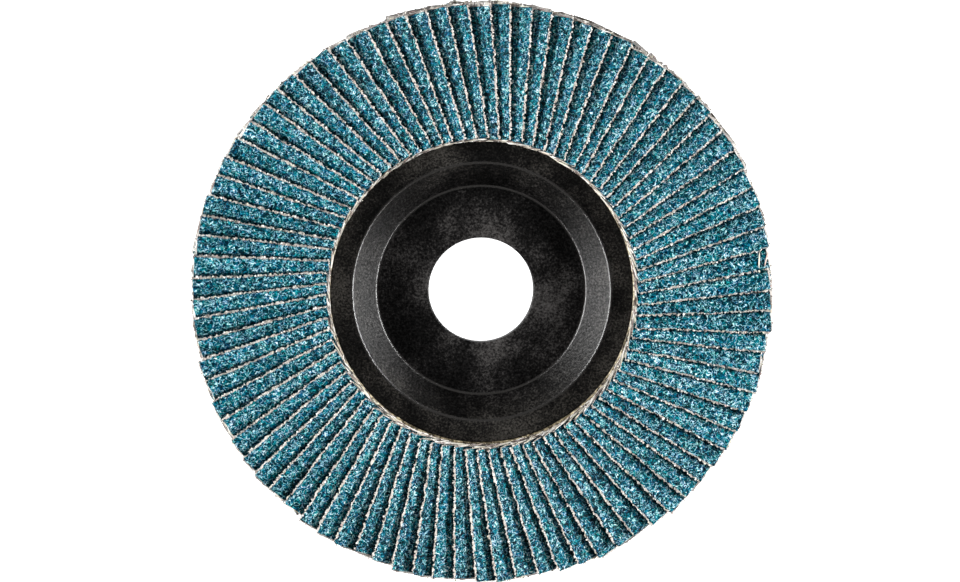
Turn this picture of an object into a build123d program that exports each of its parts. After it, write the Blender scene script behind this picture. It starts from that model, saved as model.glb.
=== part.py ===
from build123d import *
import os
from math import cos, hypot, radians, sin

# A flap disc for an angle grinder. A ring of abrasive cloth flaps overlaps like roof tiles on a
# dished plate and is held by a bed of epoxy. The disc lies on the back face of its hub with the
# abrasive side up. Z is the spindle axis, the origin is the centre of the bore at the hub's
# back face, and all sizes are in millimetres.

# Backing plate: one moulding of glass-filled nylon with a dished centre
BORE_DIAMETER = 22.23  # the standard 7/8 inch bore
HUB_THICKNESS = 3.0  # what the flange and the nut clamp between them
RECESS_DEPTH = 4.6  # from the front ring down to the nut's seat
SEAT_RADIUS = 22.2
MOUTH_RADIUS = 27.3
FRONT_RING_RADIUS = 32.0  # outer edge of the flat ring round the recess
RIM_RADIUS = 57.0
WALL_THICKNESS = 3.0  # through the cone, square to it
RIM_THICKNESS = 1.8  # thin enough to wear away with the flaps
CHANNEL_DEPTH = 1.4  # from the front ring down to the floor that the epoxy lies on

# Keying groove round the channel floor, which the epoxy fills
GROOVE_INNER_RADIUS = 38.0
GROOVE_OUTER_RADIUS = 51.0
GROOVE_DEPTH = 0.5
GROOVE_FLANK = 0.4  # how far each side leans, for draft

# Edges of the moulding
BORE_CHAMFER = 0.3
MOUTH_CHAMFER = 0.4
RIM_CHAMFER = 0.6
HUB_BACK_FILLET = 1.2
BACK_INSIDE_FILLET = 3.0

# Epoxy bed
EPOXY_RADIUS = 55.5
EPOXY_BELOW_RING = 0.1  # its surface sits this far under the front ring

# Flaps: rectangles of coated cloth, with the grain side up
FLAP_COUNT = 86
FLAP_LENGTH = 28.2  # along the free edge
FLAP_WIDTH = 14.5  # from the free edge down into the epoxy, along the bend
FLAP_THICKNESS = 0.9
FLAP_INNER_REACH = 32.45  # from the axis to the line of the flap's inner end
FREE_EDGE_OFFSET = 5.64  # the free edge runs this far beside a true radius
FREE_EDGE_TILT = 24.5  # degrees above the disc's plane, at the free edge
BEND_RADIUS = 230.0  # the cloth bends a little steeper towards the epoxy
FLAP_FLOOR_GAP = 0.2  # epoxy between the channel floor and the lowest edge of a flap
FLAPS_PER_NODE = 2

ring_height = HUB_THICKNESS + RECESS_DEPTH
channel_height = ring_height - CHANNEL_DEPTH
rim_back_height = channel_height - RIM_THICKNESS
epoxy_height = ring_height - EPOXY_BELOW_RING
bore_radius = BORE_DIAMETER / 2


def groove_outline():
    """Corners (radius, height) of the keying groove, from the outside in."""
    bottom = channel_height - GROOVE_DEPTH
    return [
        (GROOVE_OUTER_RADIUS, channel_height),
        (GROOVE_OUTER_RADIUS - GROOVE_FLANK, bottom),
        (GROOVE_INNER_RADIUS + GROOVE_FLANK, bottom),
        (GROOVE_INNER_RADIUS, channel_height),
    ]


def back_cone():
    """Radii where the back of the cone meets the hub's back face and the back of the rim."""
    run = MOUTH_RADIUS - SEAT_RADIUS
    slope = hypot(run, RECESS_DEPTH)
    shift = WALL_THICKNESS * slope / RECESS_DEPTH  # the wall's thickness, measured along a radius
    hub_edge = SEAT_RADIUS + shift - HUB_THICKNESS * run / RECESS_DEPTH
    rim_start = hub_edge + rim_back_height * run / RECESS_DEPTH
    return hub_edge, rim_start


def revolved(points, fillets):
    """A ring turned about Z from a closed outline of (radius, height) points, corners rounded."""
    with BuildPart() as ring:
        with BuildSketch(Plane.XZ):
            with BuildLine():
                FilletPolyline(*points, radius=fillets, close=True)
            make_face()
        revolve(axis=Axis.Z)
    return ring.part


def backing_plate():
    """The moulded plate: bore, nut recess, front ring, epoxy channel with its groove and rim."""
    hub_edge, rim_start = back_cone()
    corners = [
        ((bore_radius, 0), 0),
        ((hub_edge, 0), HUB_BACK_FILLET),
        ((rim_start, rim_back_height), BACK_INSIDE_FILLET),
        ((RIM_RADIUS, rim_back_height), 0),
        ((RIM_RADIUS, channel_height), 0),
        *[(point, 0) for point in groove_outline()],
        ((FRONT_RING_RADIUS, channel_height), 0),
        ((FRONT_RING_RADIUS, ring_height), 0),
        ((MOUTH_RADIUS, ring_height), 0),
        ((SEAT_RADIUS, HUB_THICKNESS), 0),
        ((bore_radius, HUB_THICKNESS), 0),
    ]
    plate = revolved([point for point, _ in corners], [fillet for _, fillet in corners])
    plate = chamfer(circles_at(plate, bore_radius), BORE_CHAMFER)
    plate = chamfer(circles_at(plate, MOUTH_RADIUS), MOUTH_CHAMFER)
    return chamfer(circles_at(plate, RIM_RADIUS).sort_by(Axis.Z)[0], RIM_CHAMFER)


def circles_at(shape, radius):
    """The circular edges of a turned shape that have this radius."""
    circles = shape.edges().filter_by(GeomType.CIRCLE)
    return circles.filter_by(lambda edge: abs(edge.radius - radius) < 0.001)


def flap_at_twelve():
    """One flap, with its free edge along +Y, rising towards +X and bent about its length."""
    tilt_top = radians(FREE_EDGE_TILT)
    tilt_base = tilt_top + FLAP_WIDTH / BEND_RADIUS
    under = BEND_RADIUS - FLAP_THICKNESS
    axis_x = FREE_EDGE_OFFSET + BEND_RADIUS * sin(tilt_top)
    axis_z = channel_height + FLAP_FLOOR_GAP - under * cos(tilt_base)

    def on_bend(radius, tilt):
        return (axis_x - radius * sin(tilt), axis_z + radius * cos(tilt))

    tilt_middle = (tilt_top + tilt_base) / 2
    with BuildPart() as flap:
        with BuildSketch(Plane.XZ.offset(-FLAP_INNER_REACH)):
            with BuildLine():
                grain = ThreePointArc(
                    on_bend(BEND_RADIUS, tilt_base),
                    on_bend(BEND_RADIUS, tilt_middle),
                    on_bend(BEND_RADIUS, tilt_top),
                )
                cloth = ThreePointArc(
                    on_bend(under, tilt_top),
                    on_bend(under, tilt_middle),
                    on_bend(under, tilt_base),
                )
                Line(grain @ 1, cloth @ 0)
                Line(cloth @ 1, grain @ 0)
            make_face()
        extrude(amount=-FLAP_LENGTH)
    return flap.part


def flap_ring():
    """All the flaps, clockwise from twelve o'clock as seen from the abrasive side."""
    first = flap_at_twelve()
    step = 360 / FLAP_COUNT
    return [Rot(0, 0, -i * step) * first for i in range(FLAP_COUNT)]


def epoxy_bed(flaps):
    """The cured epoxy: it fills the groove below and closes round the foot of every flap."""
    block = revolved(
        [
            (FRONT_RING_RADIUS, channel_height),
            (FRONT_RING_RADIUS, epoxy_height),
            (EPOXY_RADIUS, epoxy_height),
            (EPOXY_RADIUS, channel_height),
            *groove_outline(),
        ],
        0,
    )
    return block - flaps


os.makedirs("parts", exist_ok=True)

all_flaps = flap_ring()
export_step(backing_plate(), "parts/backing_plate.step")
export_step(epoxy_bed(all_flaps), "parts/epoxy_bed.step")
for first_flap in range(0, FLAP_COUNT, FLAPS_PER_NODE):
    group = Compound(children=all_flaps[first_flap : first_flap + FLAPS_PER_NODE])
    number = first_flap // FLAPS_PER_NODE + 1
    export_step(group, f"parts/flap_pair_{number:02d}.step")
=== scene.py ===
"""Dresses the flap disc: coated cloth flaps, moulded plate and cured epoxy, with lamps and camera."""

import logging
import math
import random
from dataclasses import dataclass, field
from enum import Enum

import bmesh
import bpy
from bmesh.types import BMesh
from bpy.types import Material
from bpy.types import NodeSocket as Socket
from bpy.types import NodeTree as Tree
from mathutils import Matrix, Vector, noise


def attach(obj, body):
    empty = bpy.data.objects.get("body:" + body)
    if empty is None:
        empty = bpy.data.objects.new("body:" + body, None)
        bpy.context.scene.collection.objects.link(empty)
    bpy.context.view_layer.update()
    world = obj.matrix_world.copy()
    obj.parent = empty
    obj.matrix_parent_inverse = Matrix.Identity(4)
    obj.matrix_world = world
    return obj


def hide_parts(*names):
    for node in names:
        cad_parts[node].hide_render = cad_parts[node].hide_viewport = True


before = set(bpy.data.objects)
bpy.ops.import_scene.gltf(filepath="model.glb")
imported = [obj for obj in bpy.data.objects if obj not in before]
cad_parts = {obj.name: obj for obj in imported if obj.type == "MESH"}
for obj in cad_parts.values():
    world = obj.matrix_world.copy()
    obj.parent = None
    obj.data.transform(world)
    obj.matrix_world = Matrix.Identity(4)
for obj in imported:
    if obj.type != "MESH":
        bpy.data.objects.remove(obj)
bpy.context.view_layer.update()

log = logging.getLogger("flap_disc")

NOISE_SEED = 7  # noise_vector's offsets come from the clock unless they are seeded
MM = 0.001
PER_MM = 1000.0  # a pattern scale of one per millimetre, for Object coordinates in metres
CLOSE = 0.01  # millimetres within which a point counts as lying on an edge or in a plane
Level = Socket | float  # what a node's input takes
FLAP_LAYERS = ("tone", "relief", "covered", "stain")  # values stored on the flaps' vertices


class Layer(Enum):
    """The layers of a flap, by the number of their material slot."""

    GRAIN = 0
    CLOTH = 1
    YARN = 2


class CutSide(Enum):
    """The three cut sides of a flap where the cloth's yarns show their ends."""

    FREE_EDGE = "free edge"
    INNER_END = "inner end"
    OUTER_END = "outer end"


@dataclass(frozen=True)
class Trim:
    """How ragged one cut side of a flap is, in millimetres."""

    least: float  # how far the cloth stands out past the grain coat, at the least and the most
    most: float
    tuft: float  # how far its longest tuft sticks out past that
    tone: float  # its tufts' usual tone
    fibres: int
    fibre: float  # length of its longest loose fibre
    fibre_span: float  # the share of the side that has them
    strands: int = 0  # yarns that have worked loose and lie beside it


TRIMS = {
    CutSide.FREE_EDGE: Trim(-0.24, 0.34, 0.11, 0.54, 14, 0.42, 1.0),
    CutSide.INNER_END: Trim(-0.22, 0.14, 0.08, 0.42, 14, 0.5, 0.7, 12),
    CutSide.OUTER_END: Trim(-0.2, 0.35, 0.16, 0.34, 14, 1.0, 0.6, 3),
}
FRAYED_END = Trim(-0.35, 0.75, 0.16, 0.34, 45, 1.0, 0.6, 10)


def linear(hex_colour: str) -> tuple[float, float, float, float]:
    """Turns an sRGB hex colour into linear light.

    Args:
        hex_colour: six hex digits after a hash.

    Returns:
        Red, green, blue and an alpha of 1.
    """
    parts = [int(hex_colour[i : i + 2], 16) / 255 for i in (1, 3, 5)]
    lit = [c / 12.92 if c <= 0.04045 else ((c + 0.055) / 1.055) ** 2.4 for c in parts]
    return (*lit, 1.0)


def add(tree: Tree, kind: str, inputs: dict | None = None, **settings) -> bpy.types.Node:
    """Adds a shader node with its settings and its links.

    Args:
        tree: the material's node tree.
        kind: the node's type, such as ShaderNodeTexNoise.
        inputs: socket name or number to a constant, a hex colour or another node's output.
        settings: the node's own properties, and stops for a colour ramp's places and colours.

    Returns:
        The new node.
    """
    node = tree.nodes.new(kind)
    stops = settings.pop("stops", None)
    for name, value in settings.items():
        setattr(node, name, value)
    if stops:
        ramp = node.color_ramp
        while len(ramp.elements) < len(stops):
            ramp.elements.new(1.0)
        for element, (place, colour) in zip(ramp.elements, stops):
            element.position = place
            element.color = linear(colour)
    for socket, value in (inputs or {}).items():
        if isinstance(value, Socket):
            tree.links.new(value, node.inputs[socket])
        elif isinstance(value, str):
            node.inputs[socket].default_value = linear(value)
        else:
            node.inputs[socket].default_value = value
    return node


def new_material(name: str) -> tuple[Material, Tree]:
    """Makes an empty node material.

    Args:
        name: the real material's name.

    Returns:
        The material and its node tree.
    """
    material = bpy.data.materials.new(name)
    material.use_nodes = True
    material.node_tree.nodes.clear()
    return material, material.node_tree


def maths(tree: Tree, operation: str, *values: Level) -> Socket:
    """Adds a maths node.

    Args:
        tree: the material's node tree.
        operation: the node's operation.
        values: what goes into it, in order.

    Returns:
        Its result.
    """
    return add(tree, "ShaderNodeMath", dict(enumerate(values)), operation=operation).outputs[0]


def weighed(tree: Tree, parts: tuple[tuple[Level, float], ...], start: Level = 0.0) -> Level:
    """Sums values, each times its weight.

    Args:
        tree: the material's node tree.
        parts: each value with its weight.
        start: what the sum starts from.

    Returns:
        The sum.
    """
    for part, weight in parts:
        start = maths(tree, "MULTIPLY_ADD", part, weight, start)
    return start


def ranged(
    tree: Tree,
    value: Level,
    span: tuple[float, float],
    into: tuple[float, float] = (0.0, 1.0),
    smooth: bool = False,
) -> Socket:
    """Maps a value from one range to another, held at both ends.

    Args:
        tree: the material's node tree.
        value: the value.
        span: the range it comes from.
        into: the range it goes to.
        smooth: whether it eases in and out.

    Returns:
        The mapped value.
    """
    names = ("Value", "From Min", "From Max", "To Min", "To Max")
    inputs = dict(zip(names, (value, *span, *into)))
    ease = "SMOOTHSTEP" if smooth else "LINEAR"
    return add(tree, "ShaderNodeMapRange", inputs, interpolation_type=ease).outputs[0]


def cloudy(
    tree: Tree, size: float, detail: float = 2.0, roughness: float = 0.5, distortion: float = 0.0
) -> Socket:
    """Adds a noise in the piece's own Object coordinates.

    Args:
        tree: the material's node tree.
        size: how far apart its waves are, in millimetres.
        detail: how many finer noises lie over it.
        roughness: how strong those are.
        distortion: how far it is warped.

    Returns:
        The noise, about 0.5 on average.
    """
    inputs = {
        "Vector": object_place(tree), "Scale": PER_MM / size, "Detail": detail,
        "Roughness": roughness, "Distortion": distortion,
    }
    return add(tree, "ShaderNodeTexNoise", inputs).outputs["Fac"]


def object_place(tree: Tree) -> Socket:
    """The place on the piece, in its own Object coordinates."""
    return add(tree, "ShaderNodeTexCoord").outputs["Object"]


def stored(tree: Tree, name: str) -> Socket:
    """A value that the mesh stores on its vertices."""
    return add(tree, "ShaderNodeAttribute", attribute_name=name).outputs["Fac"]


def ramp(tree: Tree, share: Level, *stops: tuple[float, str]) -> Socket:
    """The colour at a share of a ramp of hex colours."""
    return add(tree, "ShaderNodeValToRGB", {"Fac": share}, stops=stops).outputs["Color"]


def blend(tree: Tree, share: Level, first: Socket, second: str) -> Socket:
    """Fades from one colour to another by a share from 0 to 1."""
    inputs = {0: share, 6: first, 7: second}
    return add(tree, "ShaderNodeMix", inputs, data_type="RGBA").outputs[2]


def surface(tree: Tree, height: Level, strength: float, depth: float, inputs: dict) -> None:
    """Adds the bump, the surface and the output that end a material.

    Args:
        tree: the material's node tree.
        height: the bump's height.
        strength: the bump's strength.
        depth: the bump's full depth, in millimetres.
        inputs: the surface's sockets, as for add.
    """
    relief = {"Strength": strength, "Distance": depth * MM, "Height": height}
    bump = add(tree, "ShaderNodeBump", relief).outputs["Normal"]
    shader = add(tree, "ShaderNodeBsdfPrincipled", {**inputs, "Normal": bump})
    add(tree, "ShaderNodeOutputMaterial", {"Surface": shader.outputs[0]})


@dataclass(frozen=True)
class ZirconiaGrain:
    """Alumina-zirconia grain under a tinted resin size coat: glossy ridges painted pale as highlights
    over dark hollows, and a painted shadow beside the flap above.
    """

    grain_size: float = 0.5  # millimetres from one grain to the next
    ridge_period: float = 0.95  # millimetres between the winding ridges that touching grains form
    ridge_width: float = 0.05  # how near its middle value the slow noise makes a ridge
    fine_size: float = 0.3
    patch_size: float = 5.0
    drift_size: float = 1.3
    hollow: str = "#01141d"
    deep: str = "#00384a"
    body: str = "#036781"
    lit: str = "#2791a8"
    # the pale and near-white stops are painted highlights, reached along the ridges
    pale: str = "#9fc9d4"
    painted_glint: str = "#f4f8f8"
    # near-black colour of the painted shadow beside the flap above
    painted_shadow: str = "#00060a"
    greenest: float = 0.446  # hue shifts, where 0.5 is none
    bluest: float = 0.533
    painted_shadow_strength: float = 0.8  # how near to the colour of the painted shadow the grain goes beside the flap above

    def build(self) -> Material:
        """Makes the material.

        Returns:
            The grain coat's material.
        """
        material, tree = new_material("zirconia_grain_coat")
        # the ridges run where the slow noise crosses its middle value
        winding = cloudy(tree, self.ridge_period, detail=1.0, distortion=0.8)
        off_middle = maths(tree, "ABSOLUTE", maths(tree, "SUBTRACT", winding, 0.5))
        ridge = ranged(tree, off_middle, (0.0, self.ridge_width), (1.0, 0.0), smooth=True)
        place = {"Vector": object_place(tree), "Scale": PER_MM / self.grain_size}
        pebble = add(tree, "ShaderNodeTexVoronoi", place)
        own = add(tree, "ShaderNodeSeparateColor", {"Color": pebble.outputs["Color"]})
        fine = cloudy(tree, self.fine_size, roughness=0.6)
        # patches of thinner and thicker size coat, several millimetres across
        patch = cloudy(tree, self.patch_size)
        # the grain's own tone, fine speckle, patches and the flap's tone, with painted highlights
        # along the ridges and painted light and shade from the relief's height
        shade = weighed(
            tree,
            (
                (ridge, 0.42), (fine, 0.95), (own.outputs["Red"], 0.28),
                (stored(tree, "relief"), 0.08), (patch, 0.06), (stored(tree, "tone"), 0.07),
            ),
            start=-0.3,
        )
        colour = ramp(
            tree, shade, (0.22, self.hollow), (0.36, self.deep), (0.48, self.body), (0.6, self.lit),
            (0.76, self.pale), (0.94, self.painted_glint),
        )
        # the tint of the resin drifts between sea green and blue, in patches and grain by grain
        slow = cloudy(tree, self.drift_size)
        drift = maths(tree, "MULTIPLY_ADD", own.outputs["Blue"], 0.4, slow)
        hue = ranged(tree, drift, (0.35, 1.05), (self.greenest, self.bluest))
        tinted = add(tree, "ShaderNodeHueSaturation", {"Hue": hue, "Color": colour})
        # painted shadow: the grain beside the flap above is darkened towards near black, standing in
        # for the shade that flap casts
        jag = cloudy(tree, self.grain_size)
        under = maths(tree, "MULTIPLY_ADD", jag, 1.1, stored(tree, "covered"))
        band = ranged(tree, under, (0.35, 0.7), (0.0, self.painted_shadow_strength), smooth=True)
        coat = blend(tree, band, tinted.outputs["Color"], self.painted_shadow)
        # only the ridges, where the resin is thin over bare crystal, flash in the light, and none
        # inside the painted shadow
        glint = ranged(tree, ridge, (0.0, 1.0), (0.05, 0.9))
        flash = maths(tree, "MULTIPLY", glint, maths(tree, "SUBTRACT", 1.0, band))
        height = weighed(tree, ((ridge, 0.5), (fine, 0.8), (pebble.outputs["Distance"], -0.7)))
        rough = ranged(tree, own.outputs["Green"], (0.0, 1.0), (0.26, 0.42))
        look = {"Base Color": coat, "Roughness": rough, "Specular IOR Level": flash}
        surface(tree, height, strength=0.85, depth=0.2, inputs=look)
        return material


@dataclass(frozen=True)
class PolycottonCloth:
    """The flap's woven back: resin-filled polyester-cotton in a plain weave."""

    yarn_pitch: float = 0.5  # millimetres
    map_size: float = 100.0  # millimetres across the flat map
    fibre_size: float = 0.25
    fill_size: float = 4.0
    tan: str = "#dfdad4"
    shade: str = "#958a80"
    stained: str = "#3f2e20"

    def build(self) -> Material:
        """Makes the material; the weave follows the flap's own flat map.

        Returns:
            The cloth's material.
        """
        material, tree = new_material("polycotton_cloth")
        flat = add(tree, "ShaderNodeUVMap", uv_map="flat").outputs["UV"]
        axes = add(tree, "ShaderNodeSeparateXYZ", {"Vector": flat})
        turns = self.map_size / self.yarn_pitch * math.pi
        waves = [
            maths(tree, "SINE", maths(tree, "MULTIPLY", axes.outputs[axis], turns))
            for axis in ("X", "Y")
        ]
        over = maths(tree, "ABSOLUTE", maths(tree, "MULTIPLY", *waves))
        fibre = cloudy(tree, self.fibre_size, detail=3.0, roughness=0.6)
        fill = cloudy(tree, self.fill_size, detail=3.0)
        mixed = maths(tree, "MULTIPLY_ADD", fibre, 0.6, over)
        worn = maths(tree, "MULTIPLY_ADD", fill, 0.8, mixed)
        colour = ramp(tree, worn, (0.45, self.shade), (1.0, self.tan))
        browned = blend(tree, stored(tree, "stain"), colour, self.stained)
        look = {"Base Color": browned, "Roughness": 0.75, "Sheen Weight": 0.15}
        surface(tree, mixed, strength=0.8, depth=0.12, inputs=look)
        return material


@dataclass(frozen=True)
class CutYarn:
    """Cut ends of the cloth's yarns: pale cotton tufts, some stained brown by the resin."""

    fluff_size: float = 0.3
    stained: str = "#46382c"
    rosy: str = "#c9aeab"
    straw: str = "#cfccb4"
    cream: str = "#eae5dc"
    white: str = "#fbf9f6"

    def build(self) -> Material:
        """Makes the material; each tuft's tone is stored on its vertices.

        Returns:
            The yarn ends' material.
        """
        material, tree = new_material("cut_cotton_yarn")
        fluff = cloudy(tree, self.fluff_size, detail=3.0, roughness=0.7)
        mixed = maths(tree, "MULTIPLY_ADD", fluff, 0.5, stored(tree, "tone"))
        colour = ramp(
            tree, mixed, (0.36, self.stained), (0.5, self.rosy), (0.66, self.straw),
            (0.84, self.cream), (1.0, self.white),
        )
        look = {"Base Color": colour, "Roughness": 0.8, "Sheen Weight": 0.3}
        surface(tree, fluff, strength=0.7, depth=0.08, inputs=look)
        return material


@dataclass(frozen=True)
class MouldedNylon:
    """Black glass-filled nylon: a cloudy skin with glass fibre haze and a fine moulded grain."""

    cloud_size: float = 11.0
    speck_size: float = 0.45
    black: str = "#020202"
    dull: str = "#0d0c0c"
    haze: str = "#454342"
    # lighter tint painted on the sharp circles as a highlight line
    worn: str = "#2a2928"
    dust: str = "#4e4b45"
    lobe_radius: float = 11.5  # millimetres
    fade_radius: float = 21.0
    lobe_strength: float = 0.28  # how strong the lighter lobes are near the bore
    dust_start: float = 23.0  # radii between which the dust sets in, in millimetres
    dust_full: float = 29.0
    dustiest: float = 0.38

    def build(self) -> Material:
        """Makes the material.

        Returns:
            The plate's material.
        """
        material, tree = new_material("glass_filled_nylon")
        # clouds where the glass comes to the skin, about a centimetre apart, with fine specks
        cloud = cloudy(tree, self.cloud_size, detail=5.0, roughness=0.6, distortion=0.3)
        speck = cloudy(tree, self.speck_size, detail=3.0, roughness=0.75)
        mixed = maths(tree, "MULTIPLY_ADD", cloud, 0.75, speck)
        # four lighter lobes fan out round the bore, up, down, left and right, and fade towards the
        # wall
        axes = add(tree, "ShaderNodeSeparateXYZ", {"Vector": object_place(tree)})
        squares = [
            maths(tree, "MULTIPLY", axes.outputs[axis], axes.outputs[axis]) for axis in ("X", "Y")
        ]
        total = maths(tree, "ADD", *squares)
        lobes = maths(tree, "DIVIDE", maths(tree, "SUBTRACT", *squares), total)
        reach = maths(tree, "SQRT", total)
        lobe_span = (self.lobe_radius * MM, self.fade_radius * MM)
        near = ranged(tree, reach, lobe_span, (self.lobe_strength, 0.0), smooth=True)
        wisps = maths(tree, "MULTIPLY", maths(tree, "ABSOLUTE", lobes), cloud)
        marks = maths(tree, "MULTIPLY_ADD", wisps, near, mixed)
        share = maths(tree, "MULTIPLY", marks, 0.55)
        colour = ramp(tree, share, (0.42, self.black), (0.52, self.dull), (0.7, self.haze))
        # dust from the trimming of the cloth settles in patches towards the front ring
        high = ranged(tree, reach, (self.dust_start * MM, self.dust_full * MM))
        grit = ranged(tree, share, (0.47, 0.58), (0.0, self.dustiest))
        dusted = blend(tree, maths(tree, "MULTIPLY", high, grit), colour, self.dust)
        # the sharp circles of the recess are polished by handling and catch the lamps; their lighter
        # tint is a painted highlight line
        edge = stored(tree, "sharp_circle")
        tinted = blend(tree, edge, dusted, self.worn)
        rough = ranged(tree, share, (0.35, 0.65), (0.32, 0.44))
        polish = maths(tree, "MULTIPLY_ADD", edge, -0.16, rough)
        # glass ends at the skin shine in specks
        shine = ranged(tree, speck, (0.38, 0.66), (0.1, 0.33))
        flash = weighed(tree, ((high, 0.1), (edge, 0.4)), start=shine)
        look = {"Base Color": tinted, "Roughness": polish, "Specular IOR Level": flash}
        surface(tree, speck, strength=0.7, depth=0.12, inputs=look)
        return material


@dataclass(frozen=True)
class CuredEpoxy:
    """Amber-beige epoxy: a smooth, slightly rippled bead with dusty streaks."""

    streak_size: float = 0.8
    dark: str = "#352d20"
    middling: str = "#a09274"
    pale: str = "#e8dcb8"

    def build(self) -> Material:
        """Makes the material.

        Returns:
            The epoxy's material.
        """
        material, tree = new_material("cured_epoxy")
        streak = cloudy(tree, self.streak_size, detail=4.0, roughness=0.6)
        colour = ramp(tree, streak, (0.4, self.dark), (0.54, self.middling), (0.68, self.pale))
        look = {"Base Color": colour, "Roughness": 0.38}
        surface(tree, streak, strength=0.6, depth=0.2, inputs=look)
        return material


def settle(bm: BMesh, name: str, materials: list[Material]) -> bpy.types.Object:
    """Turns a finished bmesh, in millimetres, into an object at the origin, in metres.

    Args:
        bm: the bmesh, which is freed.
        name: the piece's name.
        materials: its material slots, in order.

    Returns:
        The linked object.
    """
    bmesh.ops.scale(bm, vec=(MM, MM, MM), verts=bm.verts)
    mesh = bpy.data.meshes.new(name)
    bm.to_mesh(mesh)
    bm.free()
    for material in materials:
        mesh.materials.append(material)
    piece = bpy.data.objects.new(name, mesh)
    bpy.context.scene.collection.objects.link(piece)
    return piece


def turned_ring(
    outline: list[tuple[float, float]], segments: int, rounding: dict[int, float]
) -> BMesh:
    """Turns a closed outline about Z and rounds some of the circles that its corners sweep.

    A circle just beyond each rounding keeps the shading of the wide faces flat.

    Args:
        outline: corners as (radius, height), in millimetres.
        segments: steps round the ring.
        rounding: corner number to the size of its rounding.

    Returns:
        A closed ring with its faces outwards.
    """
    points = []
    for number, corner in enumerate(outline):
        here = Vector(corner)
        before, after = Vector(outline[number - 1]), Vector(outline[(number + 1) % len(outline)])
        reach = rounding.get(number, 0.0) + 0.2
        ways = (before - here, after - here) if number in rounding else ()
        beside = [here + way.normalized() * min(reach, 0.48 * way.length) for way in ways]
        points += [*beside[:1], here, *beside[1:]]
    bm = bmesh.new()
    corners = [bm.verts.new((0.0, r, z)) for r, z in points]
    sides = [bm.edges.new((a, b)) for a, b in zip(corners, corners[1:] + corners[:1])]
    bmesh.ops.spin(
        bm, geom=corners + sides, cent=(0, 0, 0), axis=(0, 0, 1), angle=math.tau,
        steps=segments, use_merge=True,
    )
    bmesh.ops.remove_doubles(bm, verts=bm.verts, dist=1e-5)
    bmesh.ops.recalc_face_normals(bm, faces=bm.faces)
    for corner, size in rounding.items():
        radius, height = outline[corner]
        swept = {
            v for v in bm.verts
            if math.hypot(math.hypot(v.co.x, v.co.y) - radius, v.co.z - height) < 1e-3
        }
        circle = [e for e in bm.edges if swept.issuperset(e.verts)]
        bmesh.ops.bevel(
            bm, geom=circle, offset=size, offset_type="OFFSET", affect="EDGES", segments=3,
            profile=0.5, material=-1,
        )
    for face in bm.faces:
        face.smooth = True
    return bm


@dataclass
class BackingPlate:
    """The moulded plate: bore, nut recess, front ring, epoxy channel and thin rim."""

    bore: float = 11.115
    hub: float = 3.0
    seat: float = 22.2
    mouth: float = 27.3
    ring: float = 32.0
    rim: float = 57.0
    ring_height: float = 7.6
    channel_height: float = 6.2
    rim_back_height: float = 4.4
    hub_edge: float = 23.35
    rim_start: float = 28.2
    polish_and_highlight: float = 0.2  # how far round a sharp circle the plate is polished and tinted as a painted highlight
    segments: int = 256

    def build(self, nylon: Material) -> bpy.types.Object:
        """Turns the plate and dresses it.

        Args:
            nylon: the plate's material.

        Returns:
            The plate.
        """
        outline = [
            (self.bore, 0.0), (self.hub_edge, 0.0),
            (self.rim_start, self.rim_back_height), (self.rim, self.rim_back_height),
            (self.rim, self.channel_height), (self.ring, self.channel_height),
            (self.ring, self.ring_height), (self.mouth, self.ring_height),
            (self.seat, self.hub), (self.bore, self.hub),
        ]
        # corner number to the size of its rounding; corner 5 is under the epoxy and stays sharp
        rounding = {0: 0.3, 1: 1.2, 2: 2.5, 3: 0.6, 4: 0.2, 6: 0.3, 7: 0.18, 8: 0.15, 9: 0.3}
        bm = turned_ring(outline, self.segments, rounding)
        sharp = bm.verts.layers.float.new("sharp_circle")
        for vert in bm.verts:
            reach = math.hypot(vert.co.x, vert.co.y)
            for circle, height in ((self.mouth, self.ring_height), (self.seat, self.hub)):
                if math.hypot(reach - circle, vert.co.z - height) < self.polish_and_highlight:
                    vert[sharp] = 1.0
        piece = settle(bm, "backing_plate_moulding", [nylon])
        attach(piece, "root")
        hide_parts("backing_plate")
        return piece


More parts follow.
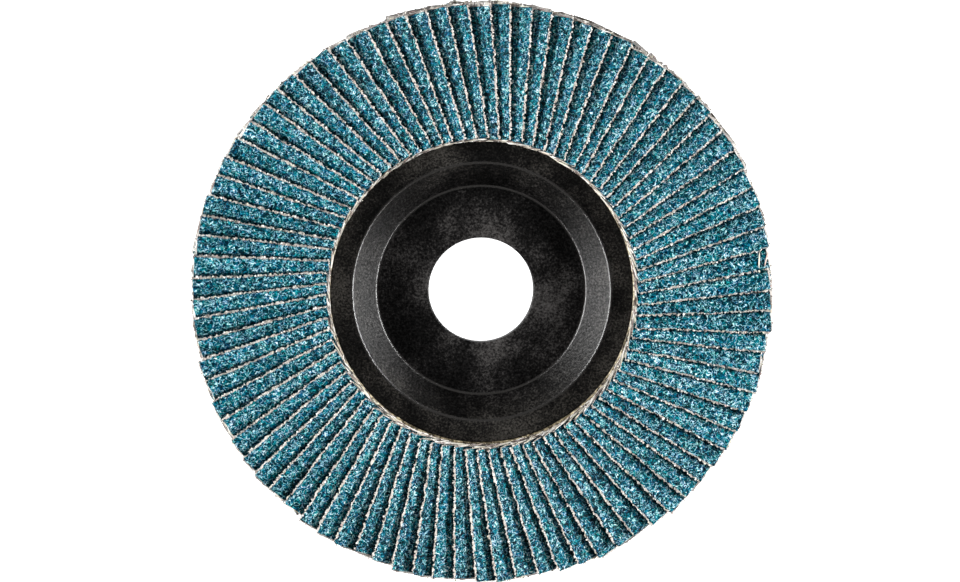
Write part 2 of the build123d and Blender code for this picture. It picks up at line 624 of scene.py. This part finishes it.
@dataclass
class EpoxyBed:
    """The epoxy that grips the feet of the flaps, with a wavy bead along its inner edge."""

    inner: float = 32.05
    outer: float = 55.5
    floor: float = 6.15
    top: float = 7.5
    segments: int = 360
    ripple: float = 0.12
    beads: int = 150
    bead_height: float = 7.62  # of a bead's middle, just over the front ring
    bead_spread: float = 0.35
    seed: int = 41

    def build(self, epoxy: Material) -> bpy.types.Object:
        """Turns the bed, ripples its top and dresses it.

        Args:
            epoxy: the bed's material.

        Returns:
            The bed.
        """
        # closer together at both edges, where the ripples show
        radii = [self.inner, 32.4, 33.0, 34.0, 38.0, 46.0, 54.0, 55.0, self.outer]
        outline = [(r, self.top) for r in radii]
        outline += [(self.outer, self.floor), (self.inner, self.floor)]
        bm = turned_ring(outline, self.segments, {})
        for vert in bm.verts:
            if vert.co.z > self.floor + 0.5:
                ripple = noise.noise(vert.co * 0.9) + 0.5 * noise.noise(vert.co * 2.3)
                vert.co.z += self.ripple * ripple
        self.add_beads(bm)
        piece = settle(bm, "epoxy_bed_cured", [epoxy])
        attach(piece, "root")
        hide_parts("epoxy_bed")
        return piece

    def add_beads(self, bm: BMesh) -> None:
        """Adds the beads that were squeezed out between the flaps and set on the front ring.

        Args:
            bm: the bed's bmesh.
        """
        chance = random.Random(self.seed)
        for _ in range(self.beads):
            turn = chance.uniform(0.0, math.tau)
            reach = self.inner + chance.uniform(0.0, self.bead_spread)
            wide = chance.uniform(0.2, 1.2)
            size = (chance.uniform(0.07, 0.2), wide, chance.uniform(0.07, 0.14))
            matrix = (
                Matrix.Rotation(turn, 4, "Z")
                @ Matrix.Translation((reach, 0.0, self.bead_height))
                @ Matrix.Rotation(chance.uniform(-0.25, 0.25), 4, "Z")
                @ Matrix.Diagonal((*size, 1.0))
            )
            made = bmesh.ops.create_icosphere(bm, subdivisions=1, radius=1.0, matrix=matrix)
            for vert in made["verts"]:
                vert.co += 0.05 * noise.noise_vector(vert.co * 2.0)
                for face in vert.link_faces:
                    face.smooth = True


def flap_bmesh() -> BMesh:
    """An empty bmesh with the layers and the flat map that the flaps' materials read."""
    bm = bmesh.new()
    for name in FLAP_LAYERS:
        bm.verts.layers.float.new(name)
    bm.loops.layers.uv.new("flat")
    return bm


@dataclass
class FlapCut:
    """One rectangle of coated cloth, laid flat: -X runs from the free edge to the foot, Y from the
    inner end to the outer end, and -Z down through its thickness. Millimetres."""

    length: float = 28.2
    width: float = 14.5
    thickness: float = 0.84
    grain: float = 0.14
    strip_inner: float = 3.1  # how much of the width shows at the inner end, with some to spare
    strip_outer: float = 5.6
    fine_columns: int = 18
    rows: int = 113

    def spread(self, column: float, along: float) -> float:
        """Distance from the free edge of a column, where 0 to 1 fans across the part that shows.

        Args:
            column: 0 at the free edge, 1 at the last fine column and 2 at the foot.
            along: distance from the inner end.

        Returns:
            Millimetres from the free edge.
        """
        share = along / self.length
        strip = self.strip_inner + (self.strip_outer - self.strip_inner) * share
        if column <= 1:
            return column * strip
        return strip + (column - 1) * (self.width - strip)

    def lay(self) -> bpy.types.Mesh:
        """Makes the flat slab, its grain coat and cloth told apart, and its flat map.

        Returns:
            The slab's mesh, in millimetres.
        """
        bm = bmesh.new()
        count = self.fine_columns
        top = [(2.0, 0.0), (1.6, 0.0), (1.25, 0.0)]
        top += [(1 - k / count, 0.0) for k in range(count + 1)]
        wall = [(0.0, 0.07), (0.0, self.grain), (0.0, 0.38), (0.0, 0.6)]
        under = [(c, self.thickness) for c in (0.0, 0.4, 1.0, 1.5, 2.0)]
        outline = top + wall + under + [(2.0, self.grain)]
        corners = [bm.verts.new((-c, 0.0, -w)) for c, w in outline]
        sides = [bm.edges.new((a, b)) for a, b in zip(corners, corners[1:] + corners[:1])]
        bmesh.ops.spin(
            bm, geom=corners + sides, cent=(0, 0, 0), axis=(0, 1, 0),
            dvec=(0, self.length / self.rows, 0), angle=0, steps=self.rows,
        )
        ends = [e for e in bm.edges if e.is_boundary]
        bmesh.ops.holes_fill(bm, edges=ends, sides=0)
        bmesh.ops.bisect_plane(
            bm, geom=bm.verts[:] + bm.edges[:] + bm.faces[:], dist=1e-4,
            plane_co=(0, 0, -self.grain), plane_no=(0, 0, 1),
        )
        for cap in (0.0, self.length):
            in_cap = [e for e in bm.edges if all(abs(v.co.y - cap) < 1e-4 for v in e.verts)]
            for long_edge in [e for e in in_cap if e.calc_length() > 0.2]:
                cuts = int(long_edge.calc_length() / 0.06)
                bmesh.ops.subdivide_edges(bm, edges=[long_edge], cuts=cuts)
        bmesh.ops.recalc_face_normals(bm, faces=bm.faces)
        for vert in bm.verts:
            vert.co.x = -self.spread(-vert.co.x, vert.co.y)
        flat_map = bm.loops.layers.uv.new("flat")
        for face in bm.faces:
            middle = face.calc_center_median()
            coat = middle.z > -self.grain and 0.001 < middle.y < self.length - 0.001
            face.material_index = (Layer.GRAIN if coat else Layer.CLOTH).value
            face.smooth = True
            for loop in face.loops:
                loop[flat_map].uv = (-loop.vert.co.x / 100, loop.vert.co.y / 100)
        mesh = bpy.data.meshes.new("flap_cut_flat")
        bm.to_mesh(mesh)
        bm.free()
        return mesh


@dataclass
class Flap:
    """One flap of the ring, with the small differences that a hand-fed machine leaves."""

    number: int
    cut: FlapCut
    count: int = 86
    reach: float = 32.4
    offset: float = 5.64
    tilt: float = 24.5
    bend_radius: float = 230.0
    cad_thickness: float = 0.9
    foot_height: float = 6.4
    foot: tuple[float, float, float] = (-6.9, 0.0, 6.6)  # the point that a flap lifts about
    mean_tilt: float = 26.0
    largest_turn: float = 0.2  # degrees round from its even place
    seed: int = 900
    frayed_middle: float = 22.0  # degrees round the ring to the middle of the frayed ends
    frayed_cosine: float = 0.78  # of how far round from there they go
    band: float = 0.86  # width of the painted shadow band at the inner end, and what it gains outwards
    band_gain: float = 0.28
    relief: float = 0.075  # height of the grain's relief
    relief_out: float = 0.08  # how far that relief moves the free edge
    lint: float = 0.0  # where along the free edge a clump of lint is caught, or none
    stray_yarn: bool = False
    chance: random.Random = field(init=False)
    bm: BMesh = field(init=False)  # the flap while it is still flat
    turn: float = field(init=False)
    yaw: float = field(init=False)
    slide: float = field(init=False)
    lift: float = field(init=False)
    tone: float = field(init=False)

    def __post_init__(self) -> None:
        """Draws this flap's own small differences."""
        self.chance = random.Random(self.seed + self.number)
        self.bm = flap_bmesh()
        # the first draw has to be the turn's, as in turn_of
        self.turn = self.draw(-self.largest_turn, self.largest_turn)
        self.yaw = self.draw(-0.35, 0.35)
        self.slide = self.draw(-0.42, 0.42)
        self.lift = self.draw(-0.3, 0.3)
        self.tone = self.draw(-0.5, 0.5)

    def draw(self, low: float, high: float) -> float:
        """One seeded number between two limits."""
        return self.chance.uniform(low, high)

    def turn_of(self, number: int) -> float:
        """How far round from its even place a flap sits, in degrees."""
        chance = random.Random(self.seed + number % self.count)
        return chance.uniform(-self.largest_turn, self.largest_turn)

    def exposed(self, along: float) -> float:
        """Width that the flap above leaves open at a distance from the inner end.

        Args:
            along: distance from the inner end.

        Returns:
            Millimetres down the slope of the flap.
        """
        pitch = 360 / self.count + self.turn_of(self.number - 1) - self.turn
        chord = (self.reach + along) * math.sin(math.radians(pitch))
        return chord / math.cos(math.radians(self.mean_tilt))

    def fray(self, place: float, side: CutSide, depth: float = 0.3) -> float:
        """How far the cloth stands out past the grain coat at a place along a cut side.

        Args:
            place: distance along the side.
            side: the side.
            depth: distance below the grain side.

        Returns:
            Millimetres, outwards.
        """
        trim = self.trim(side)
        seed = self.number * 5.3 + 40.0 * list(CutSide).index(side)
        wave = 0.5 + 1.2 * noise.noise(Vector((place / 0.4, seed, depth / 0.5)))
        wave += 0.35 * noise.noise(Vector((place / 2.2, seed, 9.0)))
        wave = min(1.0, max(0.0, wave))
        if side is CutSide.OUTER_END:
            wave = wave**3  # a few long yarns between short ones
        return trim.least + (trim.most - trim.least) * wave

    def blotch(self, place: float, depth: float, middle: float) -> float:
        """How brown the resin has stained the cut cloth at a place, from 0 to 1.

        Args:
            place: distance along the cut, in blotches.
            depth: distance below the grain side.
            middle: the average.

        Returns:
            The share of the stain's colour.
        """
        wave = noise.noise(Vector((place, self.number * 4.1, 5.0 * depth)))
        return min(1.0, max(0.0, middle + 2.0 * wave))

    def frayed(self) -> bool:
        """Whether this flap is among those at one side of the ring whose outer ends are frayed."""
        around = self.number * 360 / self.count - self.frayed_middle
        return math.cos(math.radians(around)) > self.frayed_cosine

    def trim(self, side: CutSide) -> Trim:
        """How ragged one of this flap's cut sides is."""
        return FRAYED_END if side is CutSide.OUTER_END and self.frayed() else TRIMS[side]

    def edge_wander(self, along: float) -> float:
        """How far the cut of the free edge wanders outwards at a distance along it.

        Args:
            along: distance from the inner end.

        Returns:
            Millimetres, outwards.
        """
        seed = self.number * 3.7
        slow = noise.noise(Vector((along / 7.0, seed, 0.0)))
        quick = noise.noise(Vector((along / 1.3, seed, 5.0)))
        return 0.15 * slow + 0.07 * quick

    def end_wander(self, across: float, seed: float) -> float:
        """How far an end's cut wanders at a distance from the free edge, in millimetres."""
        return 0.16 * noise.noise(Vector((across / 2.5, self.number * 2.3, seed)))

    def grain_relief(self, across: float, along: float) -> float:
        """Height of the grain at a place on the flap, from about -1 to 1.

        Args:
            across: distance from the free edge.
            along: distance from the inner end.

        Returns:
            The height, without a unit.
        """
        place = Vector((across, along, self.number * 9.1))
        near = noise.voronoi(place * 1.7)[0][0]
        return 1.0 - 2.2 * near + 0.8 * noise.noise(place * 1.1)

    def add_blob(
        self,
        centre: Vector,
        size: tuple[float, float, float],
        shade: float,
        turn: float = 0.0,
        fine: int = 1,
    ) -> list[bmesh.types.BMVert]:
        """Adds a stretched ball of cotton.

        Args:
            centre: its middle.
            size: half its size each way.
            shade: its tone.
            turn: radians about Z.
            fine: how often its faces are divided.

        Returns:
            Its vertices.
        """
        tone = self.bm.verts.layers.float["tone"]
        matrix = Matrix.Translation(centre) @ Matrix.Rotation(turn, 4, "Z")
        matrix = matrix @ Matrix.Diagonal((*size, 1.0))
        made = bmesh.ops.create_icosphere(self.bm, subdivisions=fine, radius=1.0, matrix=matrix)
        for vert in made["verts"]:
            vert[tone] = shade
        return made["verts"]

    def on_cut(self, side: CutSide, place: float, out: float, depth: float) -> Vector:
        """The point out past a cut side, at a place along it and a depth below the grain side."""
        if side is CutSide.FREE_EDGE:
            return Vector((self.edge_wander(place) + out, place, -depth))
        if side is CutSide.OUTER_END:
            return Vector((-place, self.cut.length + self.end_wander(place, 1.0) + out, -depth))
        return Vector((-place, self.end_wander(place, 7.0) - out, -depth))

    def add_tufts(self, side: CutSide) -> None:
        """Adds the yarn ends along one cut side, as small bulging tufts.

        Args:
            side: the side.
        """
        cut, trim = self.cut, self.trim(side)
        span = cut.length if side is CutSide.FREE_EDGE else cut.width - 1.5
        place = 0.15
        while place < span:
            depth = self.draw(cut.grain + 0.1, cut.thickness - 0.12)
            out = self.draw(-0.04, trim.tuft)
            out += self.fray(place, side, depth) - 0.1
            centre = self.on_cut(side, place, out, depth)
            long_way = self.draw(0.12, 0.38)
            thick = self.draw(0.06, 0.25)
            size = (long_way, thick, thick)
            if side is not CutSide.FREE_EDGE:
                size = (thick, long_way, thick)
            turn = self.draw(-0.5, 0.5)
            shade = min(1.0, max(0.0, self.chance.gauss(trim.tone, 0.28)))
            self.add_blob(centre, size, shade, turn)
            place += self.draw(0.3, 0.62)

    def add_strand(
        self, centre: Vector, half: float, thick: float, shade: float, lean: float = 0.0
    ) -> None:
        """Adds one loose yarn that lies across the flap, as a long thin tuft.

        Args:
            centre: its middle.
            half: half its length.
            thick: half its thickness.
            shade: its tone.
            lean: radians away from the flap's slope.
        """
        turn = lean + self.draw(-0.12, 0.12)
        for vert in self.add_blob(centre, (half, thick, thick), shade, turn, fine=2):
            vert.co.y += 0.12 * noise.noise(Vector((vert.co.x / 0.9, self.number * 1.9, 3.0)))

    def add_strands(self, side: CutSide) -> None:
        """Adds the yarns that have worked loose along an end and lie beside it.

        Args:
            side: the inner or the outer end.
        """
        cut = self.cut
        for _ in range(self.trim(side).strands):
            half = self.draw(0.5, 1.5)
            place = self.draw(half, cut.width * 0.55)
            least = 0.12 if side is CutSide.OUTER_END else 0.28
            out = self.draw(0.3, 0.95) * max(least, self.fray(place, side))
            depth = self.draw(0.05, 0.35)
            along = cut.length + out if side is CutSide.OUTER_END else -out
            shade = self.chance.choice((0.0, 0.15, 0.35, 0.45, 0.6, 0.8))
            thick = self.draw(0.07, 0.14)
            self.add_strand(Vector((-place, along, -depth)), half, thick, shade)

    def add_stray_yarns(self) -> None:
        """Adds the two yarns that lie loose on the grain near the outer end."""
        for inset, shade in ((1.9, 0.5), (0.35, 0.3)):
            middle = Vector((-2.0, self.cut.length - inset, 0.13))
            self.add_strand(middle, 1.9, 0.15, shade, lean=-0.35)

    def add_lint(self, along: float, lumps: int) -> None:
        """Adds a clump of white lint caught on the free edge.

        Args:
            along: its distance from the inner end.
            lumps: how many lumps it has.
        """
        for _ in range(lumps):
            place = along + self.chance.gauss(0.0, 0.8)
            out = self.draw(0.0, 0.3)
            size = tuple(self.draw(0.05, 0.2) for _ in range(3))
            depth = self.draw(0.0, 0.5)
            centre = self.on_cut(CutSide.FREE_EDGE, place, out, depth)
            for vert in self.add_blob(centre, size, 0.6):
                vert.co += 0.08 * noise.noise_vector(vert.co * 3.0)

    def add_fibres(self, side: CutSide) -> None:
        """Adds loose fibres that stick out of one cut side, as thin three-sided spikes.

        Args:
            side: the side.
        """
        cut, trim = self.cut, self.trim(side)
        tone = self.bm.verts.layers.float["tone"]
        for _ in range(trim.fibres):
            reach = self.draw(0.35, 1.0) * trim.fibre
            depth = self.draw(cut.grain, cut.thickness)
            swing = self.draw(-1.1, 1.1)
            rise = self.draw(-0.5, 0.5)
            span = cut.length if side is CutSide.FREE_EDGE else cut.width
            place = self.draw(0.1, span * trim.fibre_span)
            if side is CutSide.FREE_EDGE:
                root = Vector((self.edge_wander(place), place, -depth))
                way = Vector((1.0, swing, rise))
            else:
                outer = side is CutSide.OUTER_END
                root = Vector((-place, cut.length * outer, -depth))
                way = Vector((swing, 1.0 if outer else -1.0, rise))
            way.normalize()
            turned = way.to_track_quat("Z", "Y").to_matrix().to_4x4()
            matrix = Matrix.Translation(root + way * reach / 2) @ turned
            made = bmesh.ops.create_cone(
                self.bm, cap_ends=True, segments=3, radius1=self.draw(0.07, 0.17), radius2=0.05,
                depth=reach, matrix=matrix,
            )
            shade = self.chance.choice((0.0, 0.0, 0.15, 0.4, 0.55, 0.8))
            for vert in made["verts"]:
                vert[tone] = shade

    def bend(self, flat: Vector) -> Vector:
        """Bends a point of the flat flap to its place in the ring.

        Args:
            flat: the point on the flat flap.

        Returns:
            The point in the disc's frame, in millimetres.
        """
        tilt_top = math.radians(self.tilt)
        tilt_foot = tilt_top + self.cut.width / self.bend_radius
        under = self.bend_radius - self.cad_thickness
        axis_x = self.offset + self.bend_radius * math.sin(tilt_top)
        axis_z = self.foot_height - under * math.cos(tilt_foot)
        tilt = tilt_top - flat.x / self.bend_radius
        radius = self.bend_radius + flat.z
        out = self.reach + flat.y + self.slide * (0.4 + 0.6 * flat.y / self.cut.length)
        across, up = axis_x - radius * math.sin(tilt), axis_z + radius * math.cos(tilt)
        point = Vector((across, out, up))
        foot = Vector(self.foot)
        point = Matrix.Rotation(math.radians(-self.lift), 3, "Y") @ (point - foot) + foot
        middle = Vector((0.0, self.reach + self.cut.length / 2, 0.0))
        point = Matrix.Rotation(math.radians(self.yaw), 3, "Z") @ (point - middle) + middle
        around = -self.number * 360 / self.count + self.turn
        return Matrix.Rotation(math.radians(around), 3, "Z") @ point

    def add_trimmings(self) -> None:
        """Adds the tufts, fibres, loose yarns and lint round the cut sides."""
        for add_kind in (self.add_tufts, self.add_fibres, self.add_strands):
            for side in CutSide:
                add_kind(side)
        if self.lint > 0:
            self.add_lint(self.lint, 9)
        for _ in range(3):
            self.add_lint(self.draw(1.0, self.cut.length - 1.0), 2)
        if self.stray_yarn:
            self.add_stray_yarns()
        for face in self.bm.faces:
            face.material_index = Layer.YARN.value
            face.smooth = True

    def shape_slab(self, first: int) -> None:
        """Frays the slab's cut sides, raises its grain and stores what its materials read.

        Args:
            first: number of the slab's first vertex.
        """
        tone, relief, covered, stain = (self.bm.verts.layers.float[name] for name in FLAP_LAYERS)
        cut = self.cut
        for vert in self.bm.verts[first:]:
            across, along, depth = -vert.co.x, vert.co.y, -vert.co.z
            vert[tone] = self.tone
            near = max(0.0, 1.0 - across / 2.5)
            vert.co.x += near * self.edge_wander(along)
            bare = depth > cut.grain - CLOSE
            if across < CLOSE and bare:
                vert.co.x += self.fray(along, CutSide.FREE_EDGE, depth)
                vert[stain] = self.blotch(along / 0.45, depth, -0.22)
            if along < CLOSE:
                vert.co.y += self.end_wander(across, 7.0)
                vert.co.y -= bare * self.fray(across, CutSide.INNER_END, depth)
                vert[stain] = self.blotch(across / 0.35, depth, 0.04)
            elif along > cut.length - CLOSE:
                vert.co.y += self.end_wander(across, 1.0)
                vert.co.y += bare * self.fray(across, CutSide.OUTER_END, depth)
                vert[stain] = self.blotch(across / 0.35, depth, 0.35)
            if depth < CLOSE and across < 6.0:
                height = self.grain_relief(across, along)
                vert[relief] = height
                vert.co.z += self.relief * height
                if across < CLOSE:
                    vert.co.x += self.relief_out * height
                # how far into the band of painted shadow beside the flap above this point lies, in
                # millimetres
                band = self.band + self.band_gain * along / cut.length
                vert[covered] = across - self.exposed(along) + band

    def add_to(self, whole: BMesh, slab: bpy.types.Mesh) -> None:
        """Makes this flap and joins it to the bmesh of its group.

        Args:
            whole: the group's bmesh.
            slab: the flat slab that every flap is cut from.
        """
        self.add_trimmings()
        first = len(self.bm.verts)
        self.bm.from_mesh(slab)
        self.bm.verts.ensure_lookup_table()
        self.shape_slab(first)
        for vert in self.bm.verts:
            vert.co = self.bend(vert.co)
        part = bpy.data.meshes.new("flap")
        self.bm.to_mesh(part)
        self.bm.free()
        whole.from_mesh(part)
        bpy.data.meshes.remove(part)


@dataclass
class FlapRing:
    """The ring of overlapping flaps, in groups of two."""

    count: int = 86
    per_group: int = 2
    # flap number to where along its free edge a clump of lint is caught
    lint: dict[int, float] = field(
        default_factory=lambda: {0: 16.5, 1: 22.0, 3: 21.5, 17: 6.0, 38: 12.0, 52: 9.0, 64: 20.0}
    )
    stray_yarn: int = 19  # the flap that carries two loose yarns near its outer end

    def build(self, materials: list[Material]) -> list[bpy.types.Object]:
        """Makes every group of flaps and dresses it.

        Args:
            materials: the grain coat, the cloth and the yarn.

        Returns:
            The groups.
        """
        cut = FlapCut()
        slab = cut.lay()
        groups = []
        for first in range(0, self.count, self.per_group):
            number = first // self.per_group + 1
            bm = flap_bmesh()
            for flap in range(first, first + self.per_group):
                clump = self.lint.get(flap, 0.0)
                stray = flap == self.stray_yarn
                Flap(flap, cut, self.count, lint=clump, stray_yarn=stray).add_to(bm, slab)
            piece = settle(bm, f"coated_flaps_{number:02d}", materials)
            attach(piece, "root")
            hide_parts(f"flap_pair_{number:02d}")
            groups.append(piece)
        bpy.data.meshes.remove(slab)
        return groups


@dataclass
class Studio:
    """Two low strip softboxes left and right, a pale floor and the camera above the disc."""

    distance: float = 0.9
    lean_up: float = 5.0  # degrees off the spindle axis, towards the top of the picture
    lean_left: float = 1.6
    lens: float = 160.6
    target: tuple[float, float, float] = (-0.0005, 0.00062, 0.0125)
    box_elevation: float = 27.0
    box_distance: float = 0.9
    box_power: float = 18.4
    box_length: float = 0.9
    box_height: float = 0.15
    ambient: float = 0.015
    floor_glow: float = 0.8  # what the camera sees the floor give, before the lamps light it
    floor_size: float = 2000.0  # half its width, in millimetres

    def build(self) -> None:
        """Adds the lamps, the world, the floor and the camera."""
        self.add_softboxes()
        self.add_world()
        self.add_floor()
        self.add_camera()

    def add_softboxes(self) -> None:
        """Adds a long soft lamp on each side."""
        for side, name in ((-1, "softbox_left"), (1, "softbox_right")):
            lamp = bpy.data.lights.new(name, "AREA")
            lamp.shape = "RECTANGLE"
            lamp.size = self.box_length
            lamp.size_y = self.box_height
            lamp.energy = self.box_power
            box = bpy.data.objects.new(lamp.name, lamp)
            rise = math.radians(self.box_elevation)
            place = Vector((side * math.cos(rise), 0.0, math.sin(rise))) * self.box_distance
            box.location, box.rotation_euler = place, (-place).to_track_quat("-Z", "Y").to_euler()
            bpy.context.scene.collection.objects.link(box)

    def add_world(self) -> None:
        """Adds a faint grey surround that the camera sees as white."""
        world = bpy.data.worlds.new("studio")
        world.use_nodes = True
        tree = world.node_tree
        tree.nodes.clear()
        path = add(tree, "ShaderNodeLightPath")
        level = ranged(tree, path.outputs["Is Camera Ray"], (0.0, 1.0), (self.ambient, 1.0))
        glow = add(tree, "ShaderNodeBackground", {"Color": "#ffffff", "Strength": level})
        add(tree, "ShaderNodeOutputWorld", {"Surface": glow.outputs[0]})
        bpy.context.scene.world = world

    def add_floor(self) -> None:
        """Adds a pale floor that keeps a faint shadow under the disc."""
        bm = bmesh.new()
        bmesh.ops.create_grid(bm, x_segments=1, y_segments=1, size=self.floor_size)
        material, tree = new_material("pale_table")
        path = add(tree, "ShaderNodeLightPath")
        drift = add(tree, "ShaderNodeTexNoise", {"Scale": 3.0}).outputs["Fac"]
        colour = ramp(tree, drift, (0.0, "#f4f4f4"), (1.0, "#fbfbfb"))
        matte = add(tree, "ShaderNodeBsdfDiffuse", {"Color": colour})
        glow = ranged(tree, path.outputs["Is Camera Ray"], (0.0, 1.0), (0.0, self.floor_glow))
        shine = add(tree, "ShaderNodeEmission", {"Strength": glow})
        both = add(tree, "ShaderNodeAddShader", {0: matte.outputs[0], 1: shine.outputs[0]})
        add(tree, "ShaderNodeOutputMaterial", {"Surface": both.outputs[0]})
        settle(bm, "table", [material])

    def add_camera(self) -> None:
        """Adds the camera, almost straight above the disc."""
        data = bpy.data.cameras.new("camera")
        data.lens = self.lens
        data.sensor_width = 36.0
        data.clip_end = 20.0
        camera = bpy.data.objects.new("camera", data)
        lean_up, lean_left = math.radians(self.lean_up), math.radians(self.lean_left)
        way = Vector((-math.tan(lean_left), math.tan(lean_up), 1.0)).normalized()
        camera.location = Vector(self.target) + way * self.distance
        across = Vector((0.0, 1.0, 0.0)).cross(way).normalized()
        up = way.cross(across)
        camera.rotation_euler = Matrix((across, up, way)).transposed().to_euler()
        bpy.context.scene.collection.objects.link(camera)
        bpy.context.scene.camera = camera


def main() -> None:
    """Builds every piece in order and reports each one."""
    bpy.context.scene.view_settings.view_transform = "Standard"
    noise.seed_set(NOISE_SEED)
    grain = ZirconiaGrain().build()
    cloth = PolycottonCloth().build()
    yarn = CutYarn().build()
    plate = BackingPlate().build(MouldedNylon().build())
    bed = EpoxyBed().build(CuredEpoxy().build())
    for piece in (plate, bed, *FlapRing().build([grain, cloth, yarn])):
        log.info("%s: %d faces", piece.name, len(piece.data.polygons))
    Studio().build()


if __name__ == "__main__":
    logging.basicConfig(level=logging.INFO)
    main()
